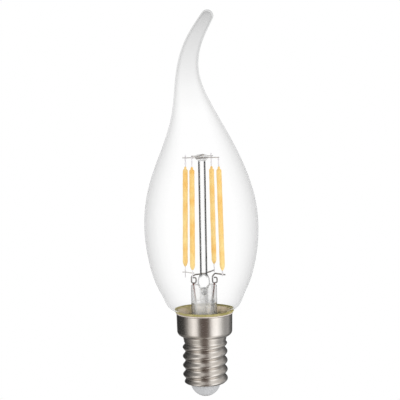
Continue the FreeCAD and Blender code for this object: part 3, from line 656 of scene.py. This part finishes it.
def rolled_shell(metal):
    """The screw shell: its outline turned round the axis, with the thread rolled in by geometry nodes."""
    around = 180
    rows = shell_outline()
    points = turned_points([row[:2] for row in rows], around)
    mesh = mesh_from("rolled_shell", points, ring_faces(len(rows), around, closed=True), 40)
    share = mesh.attributes.new("roll", "FLOAT", "POINT")
    share.data.foreach_set("value", np.repeat([row[2] for row in rows], around))
    piece = grown(new_object("rolled_shell", mesh), rolled_thread_tree(), pitch=THREAD_PITCH,
                  depth=THREAD_DEPTH, start_height=THREAD_START, metal=metal)
    shaded(piece.data, 40)
    return piece


def cement_bead():
    """The cement, poured between the neck and the skirt, with an uneven bead over the rim."""
    around = 144
    rows = [(NECK_RADIUS - CEMENT_SINK, SEAT, 0), (SKIRT_TURN[0], STEP + SHEET, 0)]
    rows += plain_rows(arc_steps(SKIRT_TURN, SKIRT_CORNER - SHEET - CEMENT_GAP, -90, 0, 8))
    rows += [(SKIRT_EDGE - SHEET - CEMENT_GAP, RIM, 0), (SKIRT_EDGE - LIP_IN, RIM + 2 * CEMENT_GAP, 0.3)]
    for bend in np.linspace(0.3, math.pi - 0.45, 11):
        rows.append((SKIRT_EDGE - LIP_IN + BEAD_OUT * math.sin(bend) ** 0.7,
                     RIM + BEAD_UP / 2 * (1 - math.cos(bend)), 1))
    rows += [(glass_radius(height) - CEMENT_SINK, height, 0)
             for height in np.linspace(RIM + BEAD_UP, glass_heights[0] + CEMENT_END, 40)]
    points = []
    for radius, height, lump in rows:
        for angle in round_angles(around):
            swell = (0.5 * math.sin(3 * angle + 0.7) + 0.3 * math.sin(7 * angle + 2.1)
                     + 0.25 * math.sin(13 * angle + 4.0) + 0.2 * math.sin(23 * angle + 1.3))
            reach = radius + lump * BEAD_LUMPS * (swell - 0.4)
            rise = height + lump * BEAD_WAVES * swell
            points.append((reach * math.cos(angle), reach * math.sin(angle), rise))
    faces = ring_faces(len(rows), around, closed=True)
    return new_object("cement_bead", mesh_from("cement_bead", points, faces, 50))


def smooth_copy(name, copy_name):
    """A CAD node's mesh with its doubles merged and its round faces shaded smooth."""
    mesh = nodes[name].data.copy()
    mesh.name = copy_name
    work = bmesh.new()
    work.from_mesh(mesh)
    bmesh.ops.remove_doubles(work, verts=work.verts, dist=1e-6)
    work.to_mesh(mesh)
    work.free()
    return new_object(copy_name, shaded(mesh, 35))


def turned(name, rows, around):
    """Rows (radius, height), the first and last on the axis, turned round the column's axis."""
    points = [(0, 0, rows[0][1])] + turned_points(rows[1:-1], around) + [(0, 0, rows[-1][1])]
    faces = [tuple(1 + k for k in face) for face in ring_faces(len(rows) - 2, around)]
    last, top = 1 + (len(rows) - 3) * around, len(points) - 1
    for j in range(around):
        k = (j + 1) % around
        faces += [(0, 1 + k, 1 + j), (last + j, last + k, top)]
    return new_object(name, mesh_from(name, points, faces, 50))


def drawn_column():
    """The glass rod: melted round at its foot, swollen above it, straight, and with a button on top."""
    rows = [(0, COLUMN_FOOT)]
    rows += [(MELT_RADIUS * math.sin(bend), COLUMN_FOOT + MELT_HEIGHT * (1 - math.cos(bend)))
             for bend in np.linspace(0.3, math.pi / 2, 6)]
    for share in np.linspace(0.08, 1, 24):
        swell = math.sin(math.pi * share) ** 0.8 * (SWELL_RADIUS - COLUMN_RADIUS) if share < 1 else 0
        rows.append((COLUMN_RADIUS + swell, COLUMN_FOOT + (SWELL_TOP - COLUMN_FOOT) * share))
    rows += [(COLUMN_RADIUS, height)
             for height in np.linspace(SWELL_TOP + COLUMN_JOINT, BUTTON_FOOT - COLUMN_JOINT, 40)]
    middle = (BUTTON_FOOT + COLUMN_TOP) / 2
    rows += [(BUTTON_RADIUS * math.cos(bend) ** 0.6 * 0.98, middle + (COLUMN_TOP - middle) * math.sin(bend))
             for bend in np.linspace(-1.1, 1.35, 14)]
    rows.append((0, COLUMN_TOP))
    return turned("drawn_column", rows, 64)


def drawn_wire(name, centres, radius):
    """A nearly level wire through its centres, with rounded ends."""
    around = 20
    bends = np.linspace(0.2, math.pi / 2, 4)
    first, last = (centres[1] - centres[0]).normalized(), (centres[-1] - centres[-2]).normalized()
    rows = [(centres[0] + first * radius * (1 - math.cos(bend)), radius * math.sin(bend)) for bend in bends]
    rows += [(centre, radius) for centre in centres[1:-1]]
    rows += [(centres[-1] - last * radius * (1 - math.cos(bend)), radius * math.sin(bend))
             for bend in reversed(bends)]
    points = []
    for i, (centre, reach) in enumerate(rows):
        along = (rows[min(i + 1, len(rows) - 1)][0] - rows[max(i - 1, 0)][0]).normalized()
        across = along.cross(Vector((0, 0, 1))).normalized()
        aside = along.cross(across)
        points += [centre + (across * math.cos(angle) + aside * math.sin(angle)) * reach
                   for angle in round_angles(around)]
    return outward(new_object(name, mesh_from(name, points, rod_faces(len(rows), around), 60)))


def top_wire(name):
    """A wire that crosses the button, from one top pin to the opposite one."""
    side = name.removeprefix("top_wire_")
    start, end = middle_of("top_pin_" + side), middle_of("top_pin_" + OPPOSITE[side])
    start.z = end.z = middle_of(name).z
    along = (end - start).normalized()
    way = [start - along * TOP_WIRE_BEFORE, start, (start + end) / 2, end, end + along * TOP_WIRE_PAST]
    return drawn_wire("drawn_" + name, way, TOP_WIRE_RADIUS)


def jumper_wire(name):
    """The wire that joins the feet of the two sticks on the left, with its ends turned out."""
    start, end = middle_of("foot_pin_back_left"), middle_of("foot_pin_front_left")
    start.z, end.z = middle_of(name).z - JUMPER_DROP, middle_of(name).z + JUMPER_RISE
    way = [start + Vector(turn) * MM for turn in JUMPER_BACK]
    way += [start + (end - start) * share for share in (0.06, 0.5, 0.94)]
    way += [end + Vector(turn) * MM for turn in JUMPER_FRONT]
    return drawn_wire("drawn_" + name, way, JUMPER_RADIUS)


def outward(piece):
    """The piece with all its faces turned outwards."""
    work = bmesh.new()
    work.from_mesh(piece.data)
    bmesh.ops.recalc_face_normals(work, faces=work.faces)
    work.to_mesh(piece.data)
    work.free()
    return piece


def middle_of(name):
    """The middle of a CAD node's box."""
    low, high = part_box(name)
    return (low + high) / 2


def coat_reach(above_foot, below_top):
    """The coat's radius: drawn out towards the foot, and a stub with a blunt shoulder at the top."""
    foot = STICK_RADIUS * (1 - max(1 - above_foot / COAT_TAPER, 0) ** 2.2) ** 0.8
    shoulder = min(max((below_top - COAT_STUB) / COAT_SHOULDER, 0), 1)
    stub = COAT_STUB_RADIUS * math.sqrt(1 - max(1 - below_top / COAT_STUB_RADIUS, 0) ** 2)
    return min(foot, stub + (STICK_RADIUS - COAT_STUB_RADIUS) * math.sqrt(1 - (1 - shoulder) ** 2))


def coated_stick(name, piece_name):
    """A light stick: the coat is thick along it, a little uneven, and runs down onto the foot pin."""
    around, slice_height = 40, 0.05 * MM
    corners = np.array([vertex.co for vertex in nodes[name].data.vertices])
    low, high = corners[:, 2].min(), corners[:, 2].max()
    foot = Vector(corners[corners[:, 2] < low + slice_height].mean(axis=0))
    top = Vector(corners[corners[:, 2] > high - slice_height].mean(axis=0))
    along = (top - foot).normalized()
    foot -= along * COAT_RUNS[name.removeprefix("light_stick_")]
    across = along.cross(Vector((0, 1, 0))).normalized()
    aside = along.cross(across)
    length = (top - foot).length
    phase = 7.0 * foot.x / MM + 3.0 * foot.y / MM
    heights = [COAT_TAPER * share for share in np.linspace(0.01, 1, 14) ** 1.5]
    heights += list(np.linspace(COAT_TAPER, length - COAT_HEAD, 60)[1:])
    eased = 0.5 + 0.5 * np.cos(np.linspace(0, math.pi, 30))
    heights += [length - COAT_HEAD * share for share in eased[1:-1]]
    heights.append(length - COAT_TIP)
    points = []
    for height in heights:
        along_mm = height / MM
        lump = 0.98 + 0.02 * math.sin(along_mm * 0.75 + phase) + 0.012 * math.sin(along_mm * 1.9 + 2 * phase)
        reach = max(coat_reach(height, length - height), COAT_LEAST) * lump
        for angle in round_angles(around):
            side = (across * math.cos(angle) + aside * math.sin(angle)) * reach
            points.append(foot + along * height + side * (1 + 0.015 * math.sin(3 * angle + phase)))
    faces = rod_faces(len(heights), around)
    return outward(new_object(piece_name, mesh_from(piece_name, points, faces, 80)))


# materials

def material(name, **sockets):
    """A new material with its Principled shader's sockets set."""
    made = bpy.data.materials.new(name)
    made.use_nodes = True
    shader = made.node_tree.nodes["Principled BSDF"]
    for socket, value in sockets.items():
        shader.inputs[socket.replace("_", " ")].default_value = value
    return made, made.node_tree, shader


def clear_in_shadow(tree, shader):
    """Lets the lamps through to what is behind the glass, so that it casts almost no shadow."""
    lit = mix_shaders(tree, ray_share(tree, "Shadow", "Diffuse"), shader.outputs[0],
                      node(tree, "ShaderNodeBsdfTransparent").outputs[0])
    link(tree, lit, tree.nodes["Material Output"].inputs["Surface"])


def clear_glass():
    """Blown glass: clear to look through; painted shade greys it towards its edges and up the thicker tail.
    """
    made, tree, shader = material("clear_glass", Roughness=0.0, IOR=1.04, Transmission_Weight=1.0)
    # painted shade: greyer where the glass is seen edge-on, standing in for the dark surroundings it mirrors
    # there
    edges = edge_ramp(tree, (0.2, 1.0), (0.334, 0.972), (0.375, 0.96), (0.422, 0.942), (0.475, 0.925),
                      (0.536, 0.906), (0.58, 0.89), (0.64, 0.872), (0.72, 0.85), (0.85, 0.8), (1.0, 0.74))
    # painted shade: greyer towards the tail's tip
    tail = grey_ramp(tree, distance_share(tree, 0, cad_high.z), (0.74, 1.0), (0.80, 0.968), (0.84, 0.932),
                     (0.88, 0.9), (0.93, 0.86), (0.955, 0.83), (0.98, 0.79), (1.0, 0.72))
    link(tree, blend(tree, "MULTIPLY", 1.0, edges, tail), shader.inputs["Base Color"])
    clear_in_shadow(tree, shader)
    return made


def stem_glass():
    """Pressed glass of the stem: a little milky; painted shade at its edges; greyer sides; faint streaks up
    it.
    """
    made, tree, shader = material("stem_glass", Roughness=0.0, IOR=1.05, Transmission_Weight=0.74)
    # painted shade: greyer where the glass is seen edge-on
    edges = edge_ramp(tree, (0.15, 1.0), (0.35, 0.93), (0.5, 0.75), (0.7, 0.5), (1.0, 0.45))
    sides = grey_ramp(tree, distance_share(tree, *STEM_SIDES, "X"), (0.0, 1.0), (1.0, 0.8))
    tint = blend(tree, "MULTIPLY", 1.0, edges, sides)
    streaks = use_effect(tree, HANDLING, scale=520.0, along=0.02, amount=1.0)
    link(tree, blend(tree, "MULTIPLY", streaks.outputs["Mask"], tint, 0.35), shader.inputs["Base Color"])
    ripple(tree, shader, 300.0, 0.000003)
    clear_in_shadow(tree, shader)
    return made


def tube_glass():
    """The thin pumping tube, hardly seen but for its edges."""
    made, tree, shader = material("tube_glass", Roughness=0.0, IOR=1.2, Transmission_Weight=1.0,
                                  Base_Color=(0.97, 0.97, 0.96, 1))
    link(tree, edge_ramp(tree, (0.3, 0.08), (0.7, 0.2), (1.0, 0.5)), shader.inputs["Alpha"])
    ripple(tree, shader, 500.0, 0.00001)
    clear_in_shadow(tree, shader)
    return made


def rod_glass():
    """The drawn glass rod: painted shade along its edges and where it melts into the press, with a cloudy
    button.
    """
    made, tree, shader = material("rod_glass", Roughness=0.0, IOR=1.2, Transmission_Weight=1.0)
    # painted shade along the edges: dark on the rod, greyer on its swollen foot and on the button, whose
    # cloudy patches are its own
    rod = edge_ramp(tree, (0.08, 1.0), (0.14, 0.45), (0.2, 0.1), (0.6, 0.06), (1.0, 0.25))
    foot = edge_ramp(tree, (0.3, 1.0), (0.42, 0.7), (0.55, 0.25), (0.8, 0.15), (1.0, 0.4))
    button = edge_ramp(tree, (0.2, 0.95), (0.5, 0.82), (1.0, 0.6))
    button = blend(tree, "MULTIPLY", 1.0, button, clouds(tree, (0.62, 0.61, 0.6), (1, 1, 1), 1100.0, 0.12))
    # painted shade: nearly black where the rod melts into the press, paling over its first millimetre
    melt = grey_ramp(tree, distance_share(tree, *MELT_SHADE), (0.0, 0.05), (0.4, 0.1), (0.7, 1.0))
    shade = blend(tree, "MIX", distance_share(tree, *SWELL_SHADE), foot, rod)
    shade = blend(tree, "MIX", distance_share(tree, *BUTTON_SHADE), shade, button)
    link(tree, blend(tree, "MULTIPLY", 1.0, shade, melt), shader.inputs["Base Color"])
    ripple(tree, shader, 500.0, 0.00001)
    clear_in_shadow(tree, shader)
    return made


def bright_nickel():
    """Nickel plate on the shell: bright, faintly wavy, scuffed round it, and with a painted highlight on the
    lip.
    """
    made, tree, shader = material("bright_nickel", Metallic=1.0)
    plate = clouds(tree, (0.66, 0.62, 0.58), (0.74, 0.71, 0.68), 160.0, 0.25)
    wave = use_effect(tree, GRAIN, scale=260.0, depth=0.00003, roughness=0.2, roughness_spread=0.1)
    scuff = use_effect(tree, HANDLING, scale=700.0, along=16.0, amount=0.14)
    # painted highlight: the lip paler and less metallic, so that it reads as a bright line
    lip = distance_share(tree, *LIP_HIGHLIGHT)
    link(tree, blend(tree, "MIX", lip, plate, (0.86, 0.78, 0.76)), shader.inputs["Base Color"])
    link(tree, sum_node(tree, "MULTIPLY_ADD", lip, -0.8, 1.0), shader.inputs["Metallic"])
    roughness = sum_node(tree, "ADD", wave.outputs["Roughness"], scuff.outputs["Mask"])
    link(tree, roughness, shader.inputs["Roughness"])
    link(tree, wave.outputs["Normal"], shader.inputs["Normal"])
    return made


def mixed(name, dark, light, scale, roughness, depth=0.00001, fine=3000.0, metallic=0.0):
    """A material with cloudy colour and fine relief."""
    made, tree, shader = material(name, Metallic=metallic)
    link(tree, clouds(tree, dark, light, scale, 0.22), shader.inputs["Base Color"])
    relief(tree, shader, fine, depth, roughness)
    return made


def copper_clad():
    """Copper-clad wire: red where the press holds it, browner and greyer towards its lower end."""
    made, tree, shader = material("copper_clad", Metallic=1.0)
    red = clouds(tree, (0.2, 0.05, 0.035), (0.42, 0.17, 0.13), 1800.0, 0.2)
    colour = blend(tree, "MIX", distance_share(tree, *COPPER_RED), (0.62, 0.56, 0.5), red)
    link(tree, colour, shader.inputs["Base Color"])
    relief(tree, shader, 3000.0, 0.00002, 0.4)
    return made


def cap_cement():
    """Olive cement with brown stains, with painted light making it paler where seen against the neck's
    glass.
    """
    made, tree, shader = material("cap_cement")
    bead = clouds(tree, (0.36, 0.32, 0.10), (0.55, 0.48, 0.24), 420.0, 0.2)
    # painted light: a paler copy of the cement, for where it sits in the shade inside the neck
    neck = clouds(tree, (0.42, 0.35, 0.18), (0.72, 0.60, 0.44), 260.0, 0.15)
    stain = use_effect(tree, MOTTLE, scale=150.0, spread=0.1)
    where = node(tree, "ShaderNodeTexCoord")
    flat = node(tree, "ShaderNodeVectorMath", operation="MULTIPLY")
    reach = node(tree, "ShaderNodeVectorMath", operation="LENGTH")
    flat.inputs[1].default_value = (1, 1, 0)
    link(tree, where.outputs["Object"], flat.inputs[0])
    link(tree, flat.outputs[0], reach.inputs[0])
    # the paler copy, painted light, gives way to the bead's own olive between these distances out
    base = blend(tree, "MIX", share_of(tree, reach.outputs["Value"], *NECK_LIGHT_FADE), neck, bead)
    share = sum_node(tree, "MULTIPLY", stain.outputs["Mask"], 0.25)
    link(tree, blend(tree, "MULTIPLY", share, base, 0.45), shader.inputs["Base Color"])
    relief(tree, shader, 900.0, 0.00012, 0.75)
    return made


# studio

def surroundings(tree):
    """The studio as metal mirrors it: soft lights round the horizon, changing overhead and underfoot."""
    where, split = node(tree, "ShaderNodeTexCoord"), node(tree, "ShaderNodeSeparateXYZ")
    link(tree, where.outputs["Generated"], split.inputs[0])
    ahead = sum_node(tree, "MULTIPLY", split.outputs["Y"], -1.0)
    turn = sum_node(tree, "ARCTAN2", split.outputs["X"], ahead)
    azimuth = sum_node(tree, "MULTIPLY_ADD", turn, 0.5 / math.pi, 0.5)
    level, overhead, underfoot = (
        colour_ramp(tree, azimuth, [(degrees / 360 + 0.5, *level) for degrees, *level in levels], "EASE")
        for levels in (HORIZON, OVERHEAD, UNDERFOOT))
    for sign, beyond in ((1.0, overhead), (-1.0, underfoot)):
        height = sum_node(tree, "MULTIPLY", split.outputs["Z"], sign)
        share = share_of(tree, height, *CHANGE, interpolation_type="SMOOTHSTEP")
        level = blend(tree, "MIX", share, level, beyond)
    return level


def studio():
    """Even light all round, white to the camera and through glass, with soft lights for metal to mirror."""
    scene = bpy.context.scene
    scene.view_settings.view_transform = "Standard"
    world = bpy.data.worlds.new("studio")
    scene.world = world
    world.use_nodes = True
    tree = world.node_tree
    tree.nodes.clear()
    white, even, mirrored = (node(tree, "ShaderNodeBackground") for _ in range(3))
    white.inputs["Color"].default_value = (1, 1, 1, 1)
    even.inputs["Color"].default_value = PLAIN_LIGHT
    link(tree, surroundings(tree), mirrored.inputs["Color"])
    glossy = node(tree, "ShaderNodeLightPath").outputs["Is Glossy Ray"]
    light = mix_shaders(tree, glossy, even.outputs[0], mirrored.outputs[0])
    light = mix_shaders(tree, ray_share(tree, "Camera", "Transmission"), light, white.outputs[0])
    link(tree, light, node(tree, "ShaderNodeOutputWorld").inputs["Surface"])


def softbox(name, azimuth, width, height, radiance):
    """A soft lamp that stands round the object; azimuth 0 is beside the camera, in degrees."""
    lamp = bpy.data.lights.new(name, "AREA")
    lamp.shape = "RECTANGLE"
    lamp.size, lamp.size_y = width, height
    lamp.energy = radiance * math.pi * width * height
    holder = new_object(name, lamp)
    turn = math.radians(azimuth)
    holder.location = (LAMP_DISTANCE * math.sin(turn), -LAMP_DISTANCE * math.cos(turn), LAMP_HEIGHT)
    holder.rotation_euler = (math.pi / 2, 0, turn)
    holder.visible_camera = False
    holder.visible_transmission = False
    holder.visible_glossy = False


def camera():
    """The camera where the photographer's was, a little above the bulb and not quite level."""
    data = bpy.data.cameras.new("camera")
    data.lens = CAMERA_LENS
    data.sensor_width = 36
    data.clip_start = 0.01
    holder = new_object("camera", data)
    back = Vector((0, -math.cos(CAMERA_DROP), math.sin(CAMERA_DROP)))
    target = Vector((TARGET_ASIDE, 0, TARGET_HEIGHT))
    turn = (-back).to_track_quat("-Z", "Y").to_matrix().to_4x4()
    holder.matrix_world = (Matrix.Translation(target + back * CAMERA_DISTANCE) @ turn
                           @ Matrix.Rotation(CAMERA_ROLL, 4, "Z"))
    bpy.context.scene.camera = holder


def floor():
    """A plain pale floor, well below the bulb, which reads as white behind it."""
    bpy.ops.mesh.primitive_plane_add(size=FLOOR_SIZE, location=(0, 0, FLOOR_HEIGHT))
    plane = bpy.context.object
    plane.name = "floor"
    made, tree, shader = material("floor", Roughness=0.9, Base_Color=PLAIN_LIGHT)
    glow = node(tree, "ShaderNodeEmission")
    lit = mix_shaders(tree, ray_share(tree, "Camera", "Transmission"), shader.outputs[0], glow.outputs[0])
    link(tree, lit, tree.nodes["Material Output"].inputs["Surface"])
    plane.data.materials.append(made)
    plane.visible_glossy = False


def place(piece, made, slot, *replaced):
    """Dress a piece, and put it in the frame in place of the CAD nodes that it stands for."""
    piece.data.materials.clear()
    piece.data.materials.append(made)
    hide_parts(*replaced)
    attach(piece, "root")


metal = bright_nickel()
place(rolled_shell(metal), metal, "nickel_shell", "screw_shell")
place(glass_envelope(), clear_glass(), "clear_glass", "glass_envelope")
place(smooth_copy("glass_stem", "pinched_stem"), stem_glass(), "stem_glass", "glass_stem")
place(smooth_copy("exhaust_tube", "pumping_tube"), tube_glass(), "stem_glass", "exhaust_tube")
place(drawn_column(), rod_glass(), "stem_glass", "glass_column")
place(cement_bead(), cap_cement(), "cement", "cement_ring")
place(smooth_copy("insulator", "round_insulator"),
      mixed("pale_insulator", (0.50, 0.505, 0.515), (0.54, 0.545, 0.555), 600.0, 0.6, 0.000003, 2600.0),
      "insulator", "insulator")
place(smooth_copy("centre_contact", "domed_contact"),
      mixed("tinned_contact", (0.55, 0.55, 0.54), (0.68, 0.68, 0.67), 1100.0, 0.42, 0.00002, 1200.0, 0.5),
      "contact", "centre_contact")
coat = mixed("stick_coat", (0.86, 0.50, 0.12), (0.90, 0.69, 0.29), 240.0, 0.6, 0.00004, 1800.0)
wire = mixed("drawn_nickel", (0.18, 0.17, 0.165), (0.36, 0.34, 0.33), 1500.0, 0.3, metallic=1.0)
bright_wire = mixed("bright_wire", (0.38, 0.36, 0.35), (0.6, 0.58, 0.56), 1500.0, 0.3, metallic=1.0)
pin = mixed("pale_pin", (0.62, 0.59, 0.62), (0.80, 0.78, 0.80), 1500.0, 0.45, metallic=0.2)
copper = copper_clad()
tinned = mixed("tinned_wire", (0.50, 0.49, 0.47), (0.68, 0.67, 0.65), 1500.0, 0.3, metallic=1.0)
paper = mixed("sleeve_paper", (0.46, 0.34, 0.19), (0.60, 0.47, 0.29), 500.0, 0.85, 0.00005, 2500.0)
mask = mixed("solder_mask", (0.03, 0.17, 0.07), (0.05, 0.25, 0.11), 260.0, 0.35, 0.00001, 1500.0)
package = mixed("moulded_package", (0.018, 0.018, 0.02), (0.04, 0.04, 0.043), 1500.0, 0.55)
chip = mixed("glazed_chip", (0.04, 0.04, 0.045), (0.09, 0.09, 0.10), 1200.0, 0.3)
sleeve = mixed("capacitor_sleeve", (0.13, 0.14, 0.2), (0.2, 0.22, 0.3), 300.0, 0.4)
resistor = mixed("resistor_coat", (0.28, 0.35, 0.29), (0.4, 0.47, 0.4), 900.0, 0.7, 0.00004, 1500.0)
driver = {
    "insulating_sleeve": ("wound_sleeve", "sleeve_paper", paper),
    "driver_board": ("driver_board_blank", "board", mask),
    "bridge_rectifier": ("moulded_rectifier", "chip_package", package),
    "driver_chip": ("moulded_chip", "chip_package", package),
    "sense_resistors": ("chip_resistors", "chip_resistor", chip),
    "smoothing_capacitor": ("sleeved_capacitor", "capacitor_can", sleeve),
    "fusible_resistor": ("coated_resistor", "resistor_coat", resistor),
}
for name in sorted(nodes):
    if name.startswith("light_stick"):
        place(coated_stick(name, "coated_" + name[6:]), coat, "stick_phosphor", name)
    elif "seal_wire" in name:
        place(smooth_copy(name, "clad_" + name), copper, "copper_clad_wire", name)
    elif "outer_lead" in name or name == "shell_wire":
        place(smooth_copy(name, "tinned_" + name), tinned, "tinned_wire", name)
    elif name == "jumper_wire":
        place(jumper_wire(name), bright_wire, "nickel_wire", name)
    elif name.startswith("top_wire"):
        place(top_wire(name), bright_wire, "nickel_wire", name)
    elif "pin_" in name:
        place(smooth_copy(name, "flat_" + name), pin, "nickel_wire", name)
    elif "inner_lead" in name:
        place(smooth_copy(name, "drawn_" + name), wire, "nickel_wire", name)
    elif name in driver:
        copy_name, slot, made = driver[name]
        place(smooth_copy(name, copy_name), made, slot, name)

studio()
softbox("left_softbox", -46, 0.40, 1.0, 1.3)
softbox("right_softbox", 58, 0.52, 1.0, 1.35)
softbox("rear_softbox", 180, 0.4, 1.0, 0.7)
floor()
camera()
